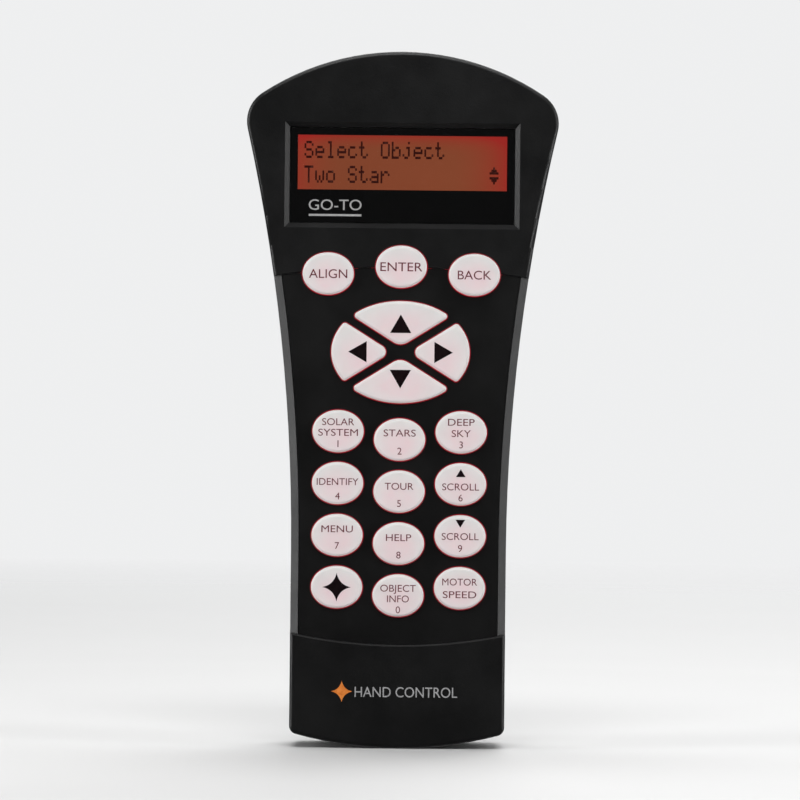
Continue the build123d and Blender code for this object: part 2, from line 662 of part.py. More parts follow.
inside = (GLASS_X + 2 * FRAME_FIT, GLASS_Z + 2 * FRAME_FIT)
frame_x = inside[0] + 2 * FRAME_T
frame_z = inside[1] + 2 * FRAME_T
frame_height = GLASS_FRONT + FRAME_T - BOARD_TOP
with BuildPart() as lcd_bezel:
    extrude(block(BOARD_TOP, (0, VIEW_MID_Z), (frame_x, frame_z)), amount=frame_height)
    fillet(lcd_bezel.edges().filter_by(Axis.Y), FRAME_CORNER_R)
    hollow = block(BOARD_TOP, (0, VIEW_MID_Z), inside)
    extrude(hollow, amount=GLASS_FRONT - BOARD_TOP, mode=Mode.SUBTRACT)
    opening = (VIEW_X + 2 * FRAME_MARGIN, VIEW_Z + 2 * FRAME_MARGIN)
    extrude(block(GLASS_FRONT, (0, VIEW_MID_Z), opening), amount=FRAME_T, mode=Mode.SUBTRACT)
    # tabs that are soldered to the board
    with BuildSketch(Plane.XZ.offset(BOARD_TOP)):
        with Locations((0, VIEW_MID_Z)):
            with GridLocations(frame_x + FRAME_TAB, frame_z / 2, 2, 2):
                Rectangle(FRAME_TAB, FRAME_TAB)
    extrude(amount=FRAME_T)
save(lcd_bezel, "lcd_bezel")

# ---------------------------------------------------------------- data jack and cord gland
with BuildPart() as pc_port:
    jack_low = BOARD_BACK - JACK_HEIGHT
    jack_mid_z = JACK_MOUTH_Z + JACK_LENGTH / 2
    slot_mid_z = JACK_MOUTH_Z + JACK_SLOT_DEPTH / 2
    extrude(block(jack_low, (JACK_X, jack_mid_z), (JACK_WIDTH, JACK_LENGTH)), amount=JACK_HEIGHT)
    slot = block(jack_low + JACK_SLOT_LOW, (JACK_X, slot_mid_z), (JACK_SLOT_X, JACK_SLOT_DEPTH))
    extrude(slot, amount=JACK_SLOT_Y, mode=Mode.SUBTRACT)
    latch_low = jack_low + JACK_SLOT_LOW - JACK_LATCH_Y
    latch = block(latch_low, (JACK_X, slot_mid_z), (JACK_LATCH_X, JACK_SLOT_DEPTH))
    extrude(latch, amount=JACK_LATCH_Y, mode=Mode.SUBTRACT)
    chamfer(pc_port.faces().sort_by(Axis.Z)[0].inner_wires()[0].edges(), JACK_MOUTH_CHAMFER)
save(pc_port, "pc_port")

with BuildPart() as pc_port_contacts:
    slot_top = jack_low + JACK_SLOT_LOW + JACK_SLOT_Y
    tip = slot_top - CONTACT_DROP
    front = JACK_MOUTH_Z + CONTACT_SETBACK
    back = JACK_MOUTH_Z + JACK_SLOT_DEPTH - CONTACT_END_GAP
    for index in range(CONTACTS):
        contact_x = JACK_X + (index - (CONTACTS - 1) / 2) * CONTACT_PITCH
        with BuildSketch(Plane.YZ.offset(contact_x - CONTACT_W / 2)):
            with BuildLine():
                Polyline(
                    (-slot_top, front),
                    (-slot_top, front + 2 * CONTACT_T),
                    (-tip, back),
                    (-tip + CONTACT_T, back),
                    (-slot_top + CONTACT_T, front),
                    close=True,
                )
            make_face()
        extrude(amount=CONTACT_W)
save(pc_port_contacts, "pc_port_contacts")

with BuildPart() as cord_gland:
    with BuildSketch(Plane.XZ.offset(PARTING)):
        with BuildLine():
            Polyline(
                (GLAND_X + GLAND_BORE_R, TOE_Z),
                (GLAND_X + GLAND_LIP_R, TOE_Z),
                (GLAND_X + GLAND_LIP_R, SPOT_Z),
                (GLAND_X + GLAND_GROOVE_R, SPOT_Z),
                (GLAND_X + GLAND_GROOVE_R, END_INNER_Z),
                (GLAND_X + GLAND_LIP_R, END_INNER_Z),
                (GLAND_X + GLAND_LIP_R, GLAND_FLANGE_Z),
                (GLAND_X + GLAND_TAIL_R, GLAND_FLANGE_Z),
                (GLAND_X + GLAND_TAIL_R, GLAND_TOP_Z),
                (GLAND_X + GLAND_BORE_R, GLAND_TOP_Z),
                close=True,
            )
        make_face()
    revolve(axis=Axis((GLAND_X, -PARTING, 0), (0, 0, 1)))
    lip = cord_gland.edges().filter_by(GeomType.CIRCLE).group_by(Axis.Z)[0].sort_by(SortBy.RADIUS)[-1]
    fillet(lip, GLAND_LIP_EDGE_R)
save(cord_gland, "cord_gland")

with BuildPart() as cord_header:
    header_mid = (GLAND_X + HEADER_SHIFT_X, GLAND_TOP_Z + HEADER_ABOVE_GLAND + HEADER_DEPTH / 2)
    header_back = BOARD_BACK - HEADER_HEIGHT
    extrude(block(header_back, header_mid, (HEADER_WIDTH, HEADER_DEPTH)), amount=HEADER_HEIGHT)
    pocket_size = (HEADER_WIDTH - 2 * HEADER_WALL, HEADER_DEPTH - 2 * HEADER_WALL)
    pocket = block(header_back, header_mid, pocket_size)
    extrude(pocket, amount=HEADER_HEIGHT - HEADER_WALL, mode=Mode.SUBTRACT)
    with BuildSketch(Plane.XZ.offset(header_back + HEADER_PIN_SHORT)):
        with Locations(header_mid):
            with GridLocations(HEADER_PITCH, 0, HEADER_PINS, 1):
                Rectangle(HEADER_PIN_W, HEADER_PIN_W)
    extrude(amount=HEADER_HEIGHT - HEADER_PIN_SHORT)
save(cord_header, "cord_header")


# ---------------------------------------------------------------- screws
def screws(places, head_front, head_r, head_t, shank_r, tip):
    """Round-headed screws whose heads bear at head_front, with their tips towards the front."""
    with BuildPart() as group:
        extrude(dots(head_front - head_t, places, head_r), amount=head_t)
        fillet(group.faces().group_by(Axis.Y)[-1].edges(), head_t / 3)
        extrude(dots(head_front, places, shank_r), amount=tip - head_front)
        chamfer(group.faces().group_by(Axis.Y)[0].edges(), shank_r / 3)
        with BuildSketch(Plane.XZ.offset(head_front - head_t)):
            with Locations(*places):
                Rectangle(2 * RECESS_R, RECESS_W)
                Rectangle(RECESS_W, 2 * RECESS_R)
        extrude(amount=min(RECESS_DEPTH, head_t * RECESS_SHARE), mode=Mode.SUBTRACT)
    return group


case_screws = screws(
    CASE_SCREWS, COUNTERBORE_DEPTH, CASE_HEAD_R, CASE_HEAD_T, CASE_SHANK_R, CASE_SCREW_TIP
)
save(case_screws, "case_screws")

board_screws = screws(
    BOARD_SCREWS, BOARD_BACK, BOARD_HEAD_R, BOARD_HEAD_T, BOARD_SHANK_R, BOARD_SCREW_TIP
)
save(board_screws, "board_screws")
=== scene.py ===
"""Hand controller: finishes, printed legends, lit display, floor, light and camera.

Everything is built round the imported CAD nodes, in metres: +X is to the right seen from the front,
+Z is up the handle, and the front faces -Y.
"""
import math

import bmesh
import bpy
from mathutils import Matrix, Vector


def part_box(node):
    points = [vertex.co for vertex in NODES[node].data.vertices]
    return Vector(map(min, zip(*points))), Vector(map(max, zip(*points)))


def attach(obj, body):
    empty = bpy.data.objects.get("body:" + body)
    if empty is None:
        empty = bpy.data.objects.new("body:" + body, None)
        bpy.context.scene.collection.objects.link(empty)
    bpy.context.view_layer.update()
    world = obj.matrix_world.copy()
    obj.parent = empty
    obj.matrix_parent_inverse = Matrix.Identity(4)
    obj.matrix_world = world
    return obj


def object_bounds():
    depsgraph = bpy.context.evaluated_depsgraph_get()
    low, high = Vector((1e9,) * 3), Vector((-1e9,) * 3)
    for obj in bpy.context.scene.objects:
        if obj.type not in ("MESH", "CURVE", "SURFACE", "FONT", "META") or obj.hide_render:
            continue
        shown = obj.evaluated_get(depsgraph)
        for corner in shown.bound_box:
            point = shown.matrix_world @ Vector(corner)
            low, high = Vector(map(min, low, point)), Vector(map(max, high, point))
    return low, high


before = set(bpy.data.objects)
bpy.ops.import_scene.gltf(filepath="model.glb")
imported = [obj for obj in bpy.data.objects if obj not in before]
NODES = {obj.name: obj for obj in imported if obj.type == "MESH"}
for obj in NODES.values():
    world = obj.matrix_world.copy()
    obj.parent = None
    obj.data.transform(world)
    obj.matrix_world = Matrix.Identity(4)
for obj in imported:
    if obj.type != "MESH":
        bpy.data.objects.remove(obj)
cad_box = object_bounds()
MM = 0.001

# Places read off the imported CAD nodes.
CASE_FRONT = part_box("front_shell")[0].y
PANEL_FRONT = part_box("keypad_panel")[0].y
LENS_LO, LENS_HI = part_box("lens")
GLASS_LO, GLASS_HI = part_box("lcd_glass")
LABEL_LO, LABEL_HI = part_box("rear_label")


def key_middle(name):
    """Middle of a key's cap on its front face."""
    lo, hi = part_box(name)
    return Vector(((lo.x + hi.x) / 2, lo.y, (lo.z + hi.z) / 2))


# ------------------------------------------------------------------ node helpers
NOISE_MIDDLE = (0.3, 0.7)        # the span that most of a noise's values lie in
NOISE_CORE = (0.35, 0.65)        # a narrower one, for patches with sharper borders
EDGE_SAMPLES = 6
EDGE_SPAN = (0.99, 0.80)         # cosine between the true and the bevelled normal


def grey(value):
    return (value, value, value)


class Nodes:
    """Short calls for building one material's node tree."""

    def __init__(self, name):
        self.material = bpy.data.materials.new(name)
        self.material.use_nodes = True
        self.tree = self.material.node_tree
        self.shader = self.tree.nodes["Principled BSDF"]
        self.output = self.tree.nodes["Material Output"]
        self.place = self.tree.nodes.new("ShaderNodeTexCoord").outputs["Object"]

    def add(self, kind, **settings):
        node = self.tree.nodes.new(kind)
        for key, value in settings.items():
            setattr(node, key, value)
        return node

    def link(self, source, target):
        self.tree.links.new(source, target)

    def set(self, **values):
        """Values on the shader's own sockets, with an underscore for each space in a socket's name."""
        for key, value in values.items():
            self.shader.inputs[key.replace("_", " ")].default_value = value

    def feed(self, **sources):
        """Links into the shader's sockets, named as in set()."""
        for key, source in sources.items():
            self.link(source, self.shader.inputs[key.replace("_", " ")])

    def glow(self, colour):
        """The same light all over the surface."""
        self.set(Emission_Color=(*colour, 1.0), Emission_Strength=1.0)

    def noise(self, scale, detail=2.0, rough=0.5, stretch=None):
        node = self.add("ShaderNodeTexNoise")
        node.inputs["Scale"].default_value = scale
        node.inputs["Detail"].default_value = detail
        node.inputs["Roughness"].default_value = rough
        if stretch:
            mapping = self.add("ShaderNodeMapping")
            mapping.inputs["Scale"].default_value = stretch
            self.link(self.place, mapping.inputs["Vector"])
            self.link(mapping.outputs[0], node.inputs["Vector"])
        else:
            self.link(self.place, node.inputs["Vector"])
        return node.outputs["Fac"]

    def ramp(self, source, stops):
        """Map range with clamped stops: (from low, from high, to low, to high)."""
        node = self.add("ShaderNodeMapRange")
        for key, value in zip(("From Min", "From Max", "To Min", "To Max"), stops):
            node.inputs[key].default_value = value
        self.link(source, node.inputs["Value"])
        return node.outputs["Result"]

    def spread(self, noise, low, high, span=NOISE_MIDDLE):
        """From low to high as a noise goes through its span."""
        return self.ramp(noise, (*span, low, high))

    def math(self, operation, *values):
        node = self.add("ShaderNodeMath", operation=operation)
        for index, value in enumerate(values):
            if isinstance(value, (int, float)):
                node.inputs[index].default_value = value
            else:
                self.link(value, node.inputs[index])
        return node.outputs[0]

    def mix(self, factor, a, b):
        node = self.add("ShaderNodeMix", data_type="RGBA")
        self.link(factor, node.inputs["Factor"])
        for socket, value in ((node.inputs["A"], a), (node.inputs["B"], b)):
            if isinstance(value, tuple):
                socket.default_value = (*value, 1.0)
            else:
                self.link(value, socket)
        return node.outputs["Result"]

    def patches(self, scale, a, b):
        """Two close shades in soft patches."""
        return self.mix(self.spread(self.noise(scale, detail=3), 0, 1, NOISE_CORE), a, b)

    def bump(self, height, strength, distance, below=None):
        node = self.add("ShaderNodeBump")
        node.inputs["Strength"].default_value = strength
        node.inputs["Distance"].default_value = distance
        self.link(height, node.inputs["Height"])
        if below:
            self.link(below, node.inputs["Normal"])
        return node.outputs["Normal"]

    def edge(self, radius):
        """0 on flat faces, rising on edges that a bevel of this radius would touch."""
        bevel = self.add("ShaderNodeBevel", samples=EDGE_SAMPLES)
        bevel.inputs["Radius"].default_value = radius
        geometry = self.add("ShaderNodeNewGeometry")
        dot = self.add("ShaderNodeVectorMath", operation="DOT_PRODUCT")
        self.link(bevel.outputs[0], dot.inputs[0])
        self.link(geometry.outputs["True Normal"], dot.inputs[1])
        return self.ramp(dot.outputs["Value"], (*EDGE_SPAN, 0.0, 1.0))

    def axis(self, letter):
        """One coordinate of the surface point."""
        node = self.add("ShaderNodeSeparateXYZ")
        self.link(self.place, node.inputs[0])
        return node.outputs[letter]


# ------------------------------------------------------------------ kinds of material
PLASTIC_IOR = 1.42
SILICONE_IOR = 1.43
ACRYLIC_IOR = 1.49
INK_IOR = 1.2
BEHIND_WINDOW_IOR = 1.05         # next to no gloss of its own, since the window already has it


def moulded_plastic(name, dark, light, rough, grain, depth, worn):
    """Spark-textured moulding: fine grain, cloudy sheen and slightly paler edges."""
    m = Nodes(name)
    cloud = m.noise(55, detail=3, rough=0.6)
    base = m.mix(m.spread(cloud, 0.0, 1.0, span=(0.35, 0.68)), dark, light)
    patchy = m.spread(m.noise(160, detail=3), 0.2, 1.0, span=(0.4, 0.65))
    rubbed = m.math("MULTIPLY", m.edge(0.5 * MM), patchy)
    colour = m.mix(m.math("MULTIPLY", rubbed, 0.7), base, worn)
    sheen = m.spread(cloud, rough - 0.04, rough + 0.05)
    polish = m.math("MULTIPLY", rubbed, 0.10)
    fine = m.bump(m.noise(grain, detail=2, rough=0.7), strength=0.5, distance=depth)
    coarse = m.bump(m.noise(grain * 0.35), strength=0.35, distance=depth * 1.6, below=fine)
    m.feed(Base_Color=colour, Roughness=m.math("SUBTRACT", sheen, polish), Normal=coarse)
    m.set(IOR=PLASTIC_IOR)
    return m.material


def key_silicone(name):
    """White keys in two close pale shades, with a painted pink glow on the lower middle of the cap and
    painted shade and red glow down in the gap.
    """
    m = Nodes(name)
    painted_glow_middle = (0.5, 0, 0.40)                 # as shares of the key's own box
    glow_from = PANEL_FRONT - 0.25 * MM          # the red starts just above the panel's face
    glow_full = PANEL_FRONT + 0.4 * MM
    generated = m.add("ShaderNodeTexCoord").outputs["Generated"]
    flat = m.add("ShaderNodeVectorMath", operation="MULTIPLY")
    flat.inputs[1].default_value = (1, 0, 1)
    m.link(generated, flat.inputs[0])
    away = m.add("ShaderNodeVectorMath", operation="DISTANCE")
    away.inputs[1].default_value = painted_glow_middle
    m.link(flat.outputs[0], away.inputs[0])
    uneven_glow = m.spread(m.noise(260), 0.75, 1.15)
    # Painted light: an uneven pink glow on the lower middle of the cap stands in for the red key lamp shining
    # through the silicone; it also sets the cap's emission.
    inner = m.math("MULTIPLY", m.ramp(away.outputs["Value"], (0.16, 0.47, 1.0, 0.0)), uneven_glow)
    soft = m.noise(220, detail=3)
    pale = m.mix(m.spread(soft, 0, 1), (0.765, 0.745, 0.735), (0.73, 0.71, 0.70))
    pale_with_painted_glow = m.mix(m.math("MULTIPLY", inner, 0.8), pale, (0.77, 0.63, 0.65))
    # Painted shade and red light: near the panel's face the key turns dark red and glows red, most on its
    # downward sides. The keys are no lamps.
    sunk = m.ramp(m.axis("Y"), (glow_from, glow_full, 0.0, 1.0))

    facing = m.add("ShaderNodeSeparateXYZ")
    m.link(m.add("ShaderNodeNewGeometry").outputs["True Normal"], facing.inputs[0])
    low_side = m.ramp(facing.outputs["Z"], (-0.8, 0.5, 1.0, 0.10))
    in_gap = m.math("MULTIPLY", sunk, low_side)
    on_cap = m.math("SUBTRACT", inner, sunk)
    m.feed(
        Base_Color=m.mix(sunk, pale_with_painted_glow, (0.16, 0.025, 0.03)),
        Roughness=m.spread(soft, 0.36, 0.46),
        Normal=m.bump(m.noise(2600), strength=0.25, distance=0.02 * MM),
        Emission_Color=m.mix(sunk, (0.034, 0.004, 0.008), (0.60, 0.012, 0.034)),
        Emission_Strength=m.math("MAXIMUM", on_cap, in_gap),
    )
    m.set(IOR=SILICONE_IOR, Subsurface_Weight=0.12, Subsurface_Scale=1.0)
    m.set(Subsurface_Radius=(1.2 * MM, 0.6 * MM, 0.5 * MM))
    return m.material


def legend_ink(name, dark, light, glow):
    """Etched or printed lettering, a little uneven, with an even painted glow; on the keys it stands in for
    the light behind them.
    """
    m = Nodes(name)
    m.feed(Base_Color=m.patches(900, dark, light), Roughness=m.spread(m.noise(500), 0.45, 0.6))
    m.glow(glow)
    m.set(IOR=INK_IOR)
    return m.material


def clear_window(name):
    """Clear polished acrylic with a trace of fine scratches in its gloss."""
    m = Nodes(name)
    streak = m.noise(300, detail=4, rough=0.6, stretch=(1.0, 1.0, 6.0))
    m.feed(
        Base_Color=m.mix(m.noise(40), grey(0.93), (0.96, 0.955, 0.95)),
        Roughness=m.spread(streak, 0.004, 0.012, span=(0.2, 0.8)),
    )
    m.set(IOR=ACRYLIC_IOR, Transmission_Weight=1.0)
    return m.material


def gloss_print(name):
    """Black print on the back of the window."""
    m = Nodes(name)
    m.feed(
        Base_Color=m.mix(m.noise(80, detail=3), (0.0010, 0.0010, 0.0012), (0.0016, 0.0016, 0.0018)),
        Roughness=m.spread(m.noise(400), 0.25, 0.35),
        Normal=m.bump(m.noise(1200), strength=0.1, distance=0.01 * MM),
    )
    # Painted light: an even faint glow stands in for the light that the glass window keeps off the print.
    m.glow(grey(0.0034))
    m.set(IOR=BEHIND_WINDOW_IOR)
    return m.material


def lit_display(name):
    """Back-lit liquid crystal: orange-brown in the middle, redder to its edges."""
    m = Nodes(name)
    half_x = (GLASS_HI.x - GLASS_LO.x) / 2
    half_lit = 8.4 * MM                          # half the height that the backlight fills
    mid_z = (GLASS_HI.z + GLASS_LO.z) / 2
    across = m.math("ADD", m.math("DIVIDE", m.axis("X"), half_x), 0.04)
    up = m.math("ADD", m.math("DIVIDE", m.math("SUBTRACT", m.axis("Z"), mid_z), half_lit), 0.12)
    side = m.math("POWER", m.math("ABSOLUTE", across), 4.5)
    rise = m.math("MULTIPLY", m.math("POWER", m.math("MAXIMUM", up, 0), 4.0), 0.55)
    cloud = m.math("MULTIPLY", m.noise(35, detail=1), 0.10)
    edge = m.ramp(m.math("ADD", m.math("ADD", side, rise), cloud), (0.10, 1.05, 0.0, 1.0))
    m.feed(
        Emission_Color=m.mix(edge, (0.240, 0.063, 0.028), (0.36, 0.024, 0.019)),
        Emission_Strength=m.spread(m.noise(50, detail=1), 0.96, 1.04),
        Roughness=m.spread(m.noise(300), 0.50, 0.60),
    )
    m.set(Base_Color=(0.006, 0.002, 0.0015, 1.0), IOR=BEHIND_WINDOW_IOR)
    return m.material


def plain(name, low, high, rough, scale=200, bump=0.2, depth=0.02 * MM, glow=None):
    """Everyday finish: two close shades, uneven gloss and a fine bump."""
    m = Nodes(name)
    m.feed(
        Base_Color=m.patches(scale, low, high),
        Roughness=m.spread(m.noise(scale * 1.7), rough - 0.05, rough + 0.06),
        Normal=m.bump(m.noise(scale * 8), strength=bump, distance=depth),
    )
    if glow:
        m.glow(glow)
    return m.material


def brushed(name, low, high, rough, stretch):
    """Rolled or turned metal with a grain."""
    m = Nodes(name)
    grain = m.noise(900, detail=4, rough=0.7, stretch=stretch)
    m.feed(
        Base_Color=m.mix(grain, low, high),
        Roughness=m.spread(grain, rough - 0.07, rough + 0.08),
        Normal=m.bump(grain, strength=0.25, distance=0.01 * MM),
    )
    m.set(Metallic=1.0)
    return m.material


# ------------------------------------------------------------------ finishes of the CAD nodes
CASE = moulded_plastic(
    "case_plastic", (0.0062, 0.0062, 0.0064), (0.0088, 0.0088, 0.0090),
    rough=0.39, grain=3600, depth=0.05 * MM, worn=(0.026, 0.026, 0.027),
)
PANEL = moulded_plastic(
    "panel_plastic", (0.0054, 0.0053, 0.0054), (0.0078, 0.0077, 0.0078),
    rough=0.37, grain=4200, depth=0.035 * MM, worn=(0.018, 0.018, 0.019),
)
JACK = moulded_plastic(
    "jack_plastic", grey(0.010), grey(0.016), rough=0.38, grain=3000, depth=0.03 * MM, worn=grey(0.03)
)
KEY = key_silicone("key_silicone")
CARBON = plain("carbon_rubber", grey(0.012), grey(0.022), 0.7, scale=700)
FINISHES = {
    "front_shell": CASE,
    "rear_shell": CASE,
    "keypad_panel": PANEL,
    "lens": clear_window("window_acrylic"),
    "lcd_glass": lit_display("lit_display"),
    "lens_gasket": plain(
        "gasket_foam", grey(0.010), grey(0.018), 0.85, scale=700, bump=0.5, depth=0.05 * MM
    ),
    "lcd_bezel": brushed(
        "blackened_tinplate", (0.020, 0.020, 0.022), (0.032, 0.032, 0.034), 0.45, stretch=(1, 8, 8)
    ),
    "lcd_light_guide": plain(
        "light_guide", (0.70, 0.20, 0.12), (0.80, 0.28, 0.16), 0.35, glow=(0.20, 0.02, 0.01)
    ),
    "zebra_strip": plain("zebra_rubber", grey(0.03), grey(0.12), 0.7, scale=1500),
    # Painted light: the web's red colour and red glow stand in for the red key lamps shining through the
    # silicone.
    "keypad_web": plain(
        "red_lit_silicone", (0.36, 0.05, 0.05), (0.46, 0.08, 0.07), 0.5,
        scale=260, glow=(0.30, 0.008, 0.015),
    ),
    "main_board": plain(
        "solder_mask", (0.010, 0.085, 0.030), (0.016, 0.120, 0.045), 0.32,
        scale=150, bump=0.3, depth=0.04 * MM,
    ),
    "contact_pads": plain("carbon_print", grey(0.012), grey(0.020), 0.6, scale=900),
    "key_leds": plain(
        "red_lamp", (0.70, 0.05, 0.04), (0.85, 0.08, 0.05), 0.2, scale=400, glow=(1.0, 0.03, 0.03)
    ),
    "control_chips": plain("chip_epoxy", (0.014, 0.014, 0.015), (0.024, 0.024, 0.025), 0.55, scale=800),
    "board_parts": plain("ceramic_parts", (0.20, 0.14, 0.09), (0.32, 0.25, 0.18), 0.45, scale=500),
    "pc_port": JACK,
    "pc_port_contacts": brushed("gold_wire", (0.75, 0.52, 0.20), (0.88, 0.66, 0.30), 0.25, stretch=(8, 1, 1)),
    "cord_gland": plain(
        "gland_rubber", grey(0.012), grey(0.022), 0.7, scale=420, bump=0.4, depth=0.05 * MM
    ),
    "cord_header": plain("natural_nylon", (0.62, 0.58, 0.50), (0.72, 0.69, 0.61), 0.45, scale=300),
    "board_screws": brushed("zinc_plate", (0.42, 0.43, 0.45), (0.56, 0.57, 0.60), 0.30, stretch=(1, 6, 1)),
    "case_screws": brushed(
        "black_oxide", (0.030, 0.030, 0.033), (0.055, 0.055, 0.060), 0.38, stretch=(1, 6, 1)
    ),
    "rear_label": plain("label_film", (0.20, 0.20, 0.21), (0.24, 0.24, 0.25), 0.33, scale=90, bump=0.15),
}


def finish_cad(name, material):
    """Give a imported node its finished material."""
    mesh = NODES[name].data
    mesh.materials.clear()
    mesh.materials.append(material)


for name in NODES:
    key_or_pill = KEY if name.startswith("key_") else CARBON
    finish_cad(name, FINISHES.get(name, key_or_pill))

# ------------------------------------------------------------------ inks
# Painted light: the red-brown colour and red glow of the key legends stand in for the red key lamps shining
# through the etching.
ETCHED = legend_ink("etched_legend", (0.095, 0.022, 0.030), (0.140, 0.036, 0.046), (0.026, 0.002, 0.003))
# Painted light: a faint even red glow on the dark arrow ink, as from the key lamps; the key star and the
# label border share it.
ARROW_INK = legend_ink("arrow_ink", (0.004, 0.0015, 0.002), (0.008, 0.003, 0.004), (0.001, 0.0002, 0.0003))
# Painted light: the grey mark behind the window glows evenly, standing in for light that the glass keeps off
# it.
MARK_INK = legend_ink("window_mark_print", grey(0.16), grey(0.20), grey(0.30))
# Painted light: the grey and orange apron prints each carry a faint even glow.
GREY_INK = legend_ink("grey_print", (0.30, 0.30, 0.305), (0.38, 0.38, 0.385), grey(0.005))
ORANGE_INK = legend_ink("orange_print", (0.62, 0.17, 0.03), (0.75, 0.24, 0.05), (0.01, 0.004, 0.0))
# Painted light: the dark display cells glow faintly red, standing in for backlight passing through them.
CELL_INK = legend_ink("display_cells", (0.015, 0.004, 0.003), (0.022, 0.006, 0.004), (0.026, 0.004, 0.003))
WINDOW_PRINT = gloss_print("window_print")

# ------------------------------------------------------------------ flat printed pieces
INK = 0.06 * MM                  # thickness of a printed plate
PROUD = 0.015 * MM               # how much of it stands out of the surface
CAP_SHARE = 0.72                 # height of a capital in the built-in font, as a share of its size
CURVE_STEPS = 5
WELD = 1e-7
OWN_WIDTH = 0                    # leaves a line of lettering as wide as the font makes it


def new_piece(name, mesh, material, body, at):
    """An object of this mesh, moved to a place, that rides on a body."""
    mesh.transform(Matrix.Translation(at))
    mesh.materials.clear()
    mesh.materials.append(material)
    mesh.name = name
    piece = bpy.data.objects.new(name, mesh)
    bpy.context.scene.collection.objects.link(piece)
    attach(piece, body)
    return piece


def printed(name, mesh, material, body, at):
    """A printed plate whose front stands just proud of the face it is printed on."""
    return new_piece(name, mesh, material, body, at + Vector((0, INK / 2 - PROUD, 0)))


def finished_mesh(shape, name):
    """A mesh of this bmesh, with its faces turned outwards."""
    bmesh.ops.recalc_face_normals(shape, faces=shape.faces)
    mesh = bpy.data.meshes.new(name)
    shape.to_mesh(mesh)
    shape.free()
    return mesh


def line_mesh(text, height):
    """One line of solid lettering in the built-in font, standing on the X axis."""
    curve = bpy.data.curves.new("lettering", "FONT")
    curve.body = text
    curve.size = height / CAP_SHARE
    curve.align_x = "CENTER"
    curve.extrude = INK / 2
    curve.resolution_u = CURVE_STEPS
    lettering = bpy.data.objects.new("lettering", curve)
    bpy.context.scene.collection.objects.link(lettering)
    mesh = bpy.data.meshes.new_from_object(lettering)
    bpy.data.objects.remove(lettering)
    return mesh


def text_mesh(lines):
    """Lettering about the origin, facing -Y, from (text, capital height, width, z of its middle) in mm."""
    joined = bmesh.new()
    for text, height_mm, width_mm, z_mm in lines:
        height, width, z = height_mm * MM, width_mm * MM, z_mm * MM
        mesh = line_mesh(text, height)
        xs = [v.co.x for v in mesh.vertices]
        middle = (max(xs) + min(xs)) / 2
        squeeze = width / (max(xs) - min(xs)) if width else 1.0
        for vertex in mesh.vertices:
            x, up, out = vertex.co
            vertex.co = ((x - middle) * squeeze, -out, up - height / 2 + z)
        joined.from_mesh(mesh)
        bpy.data.meshes.remove(mesh)
    bmesh.ops.remove_doubles(joined, verts=joined.verts, dist=WELD)
    result = bpy.data.meshes.new("lettering")
    joined.to_mesh(result)
    joined.free()
    return result


def plate_mesh(outlines, thick=INK):
    """Thin plates of closed outlines given as (x, z) points, facing -Y."""
    shape = bmesh.new()
    for outline in outlines:
        front = [shape.verts.new((x, -thick / 2, z)) for x, z in outline]
        back = [shape.verts.new((x, thick / 2, z)) for x, z in outline]
        shape.faces.new(front)
        shape.faces.new(list(reversed(back)))
        for i in range(len(outline)):
            j = (i + 1) % len(outline)
            shape.faces.new((front[j], front[i], back[i], back[j]))
    return finished_mesh(shape, "plate")


def rectangle(x0, z0, x1, z1):
    return [(x0, z0), (x1, z0), (x1, z1), (x0, z1)]


def inset_box(box, by):
    """A (x low, z low, x high, z high) box made smaller on every side."""
    x0, z0, x1, z1 = box
    return (x0 + by, z0 + by, x1 - by, z1 - by)


def frame_mesh(outer, inner, thick):
    """A flat rectangular frame facing -Y from two (x low, z low, x high, z high) boxes."""
    shape = bmesh.new()
    rings = []
    for box in (outer, inner):
        for y in (-thick / 2, thick / 2):
            rings.append([shape.verts.new((x, y, z)) for x, z in rectangle(*box)])
    outer_front, outer_back, inner_front, inner_back = rings
    front_and_back = ((outer_front, inner_front), (inner_back, outer_back))
    sides = ((outer_back, outer_front), (inner_front, inner_back))
    for a, b in (*front_and_back, *sides):
        for i in range(4):
            j = (i + 1) % 4
            shape.faces.new((a[i], a[j], b[j], b[i]))
    return finished_mesh(shape, "frame")


def triangle(width, height, quarter_turns, z=0.0):
    """A triangle about (0, z) that points up, turned anticlockwise by quarter turns."""
    points = [(-width / 2, -height / 2), (width / 2, -height / 2), (0, height / 2)]
    for _ in range(quarter_turns):
        points = [(-b, a) for a, b in points]
    return [(x, b + z) for x, b in points]


def at_angle(angle, radius):
    return Vector((math.cos(angle), math.sin(angle))) * radius


def sparkle(radius, waist, steps=10):
    """A four-pointed star with hollow sides, each side bent towards a point at the waist's radius."""
    points = []
    for quarter in range(4):
        start = math.pi / 2 * quarter
        tip = at_angle(start, radius)
        bend = at_angle(start + math.pi / 4, waist)
        next_tip = at_angle(start + math.pi / 2, radius)
        for i in range(steps):
            t = i / steps
            point = tip * (1 - t) ** 2 + bend * 2 * t * (1 - t) + next_tip * t**2
            points.append((point.x, point.y))
    return points


